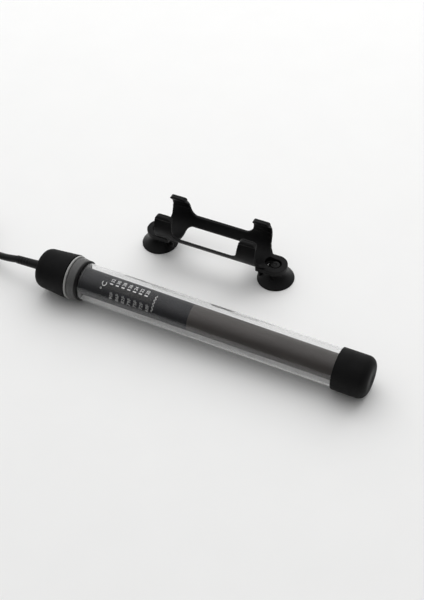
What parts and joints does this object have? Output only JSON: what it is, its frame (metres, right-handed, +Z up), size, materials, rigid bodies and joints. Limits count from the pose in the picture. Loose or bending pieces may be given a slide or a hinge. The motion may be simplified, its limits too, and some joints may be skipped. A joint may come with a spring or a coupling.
{
  "type": "submersible aquarium heater",
  "caption": "Glass-tube aquarium heater lying on a surface, with a turning temperature cap, a mains lead with plug, and a loose clip bracket on suction cups.",
  "frame": {"origin": "middle of the base of the heater and its bracket together, on the surface they lie on, without the mains lead", "axes": "+X along the heater from the adjusting cap to the end cap, +Y from the heater to the bracket, +Z up"},
  "size_m": [0.4213, 0.1545, 0.0434],
  "materials": {
    "glass": "clear, gloss",
    "cap_rubber": "matt, fine grain",
    "index_plastic": "pale grey, satin",
    "collar_plastic": "grey, satin",
    "seal_rubber": "matt",
    "inner_rubber": "matt",
    "inner_plastic": "plain moulded",
    "pointer_plastic": "dark moulded",
    "thermostat_film": "blue-black, smooth",
    "heating_film": "brown-black, smooth",
    "board": "laminate board",
    "brass": "satin",
    "steel": "brushed",
    "copper": "drawn wire",
    "ceramic": "unglazed ceramic",
    "lamp_glass": "clear orange",
    "silicone": "soft, translucent white",
    "bracket_plastic": "matt, moulded",
    "cup_rubber": "soft, satin",
    "lead_jacket": "satin",
    "plug_plastic": "matt, moulded",
    "pin_metal": "nickel plated"
  },
  "bodies": {
    "heater": {"glass_tube": "glass", "end_cap": "cap_rubber", "end_cushion": "silicone", "index_ring": "index_plastic", "collar_ring": "collar_plastic", "seal_ring": "seal_rubber", "tube_stopper": "seal_rubber", "spindle_seals": "inner_rubber", "cord_sleeve": "inner_plastic", "cord_conductors": "copper", "thermostat_sleeve": "thermostat_film", "thermostat_frame": "board", "bimetal_strip": "brass", "bimetal_post": "steel", "contact_post": "steel", "fixed_contact": "steel", "snap_magnet": "steel", "neon_lamp": "lamp_glass", "lamp_resistor": "ceramic", "thermal_fuse": "steel", "divider_disc": "thermostat_film", "heating_sleeve": "heating_film", "ceramic_core": "ceramic", "heating_coil": "steel", "core_supports": "ceramic", "lead_wires": "copper", "glass_cushion": "silicone", "strain_relief": "lead_jacket", "cord_lead": "lead_jacket", "cord_coil": "lead_jacket", "cord_tie": "plug_plastic", "cord_tail": "lead_jacket", "plug_relief": "plug_plastic", "plug_body": "plug_plastic", "plug_pin_sleeves": "plug_plastic", "plug_pins": "pin_metal"},
    "cap_drive": {"adjusting_cap": "cap_rubber", "adjuster_spindle": "inner_plastic", "lead_screw": "pointer_plastic"},
    "pointer": {"pointer_nut": "pointer_plastic"},
    "contact_blade": {"contact_arm": "brass"},
    "bracket": {"bracket_frame": "bracket_plastic"},
    "cup_left": {"suction_cup_left": "cup_rubber"},
    "cup_right": {"suction_cup_right": "cup_rubber"}
  },
  "joints": [
    {"name": "cap_turn", "type": "hinge", "parent": "heater", "child": "cap_drive", "pos_m": [-0.1072, -0.0376, 0.0177], "axis": [1, 0, -0.0087], "range_deg": [-360, 360]},
    {"name": "pointer_slide", "type": "slide", "parent": "heater", "child": "pointer", "axis": [1, 0, -0.0087], "range_m": [-0.0161, 0.0161]},
    {"name": "contact_flex", "type": "hinge", "parent": "heater", "child": "contact_blade", "pos_m": [-0.01571, -0.0376, 0.0165], "axis": [0, 1, 0], "range_deg": [0, 4], "stiffness_Nm_per_rad": 0.0005, "springref_deg": -2.86},
    {"name": "bracket_lift", "type": "slide", "parent": "heater", "child": "bracket", "axis": [0, 0, 1], "range_m": [0, 0.06]},
    {"name": "cup_left_slide", "type": "slide", "parent": "bracket", "child": "cup_left", "axis": [1, 0, 0], "range_m": [0, 0.004]},
    {"name": "cup_right_slide", "type": "slide", "parent": "bracket", "child": "cup_right", "axis": [-1, 0, 0], "range_m": [0, 0.004]}
  ],
  "couplings": [
    {"joint": "pointer_slide", "follows": "cap_turn", "m_per_rad": -0.0025465}
  ]
}
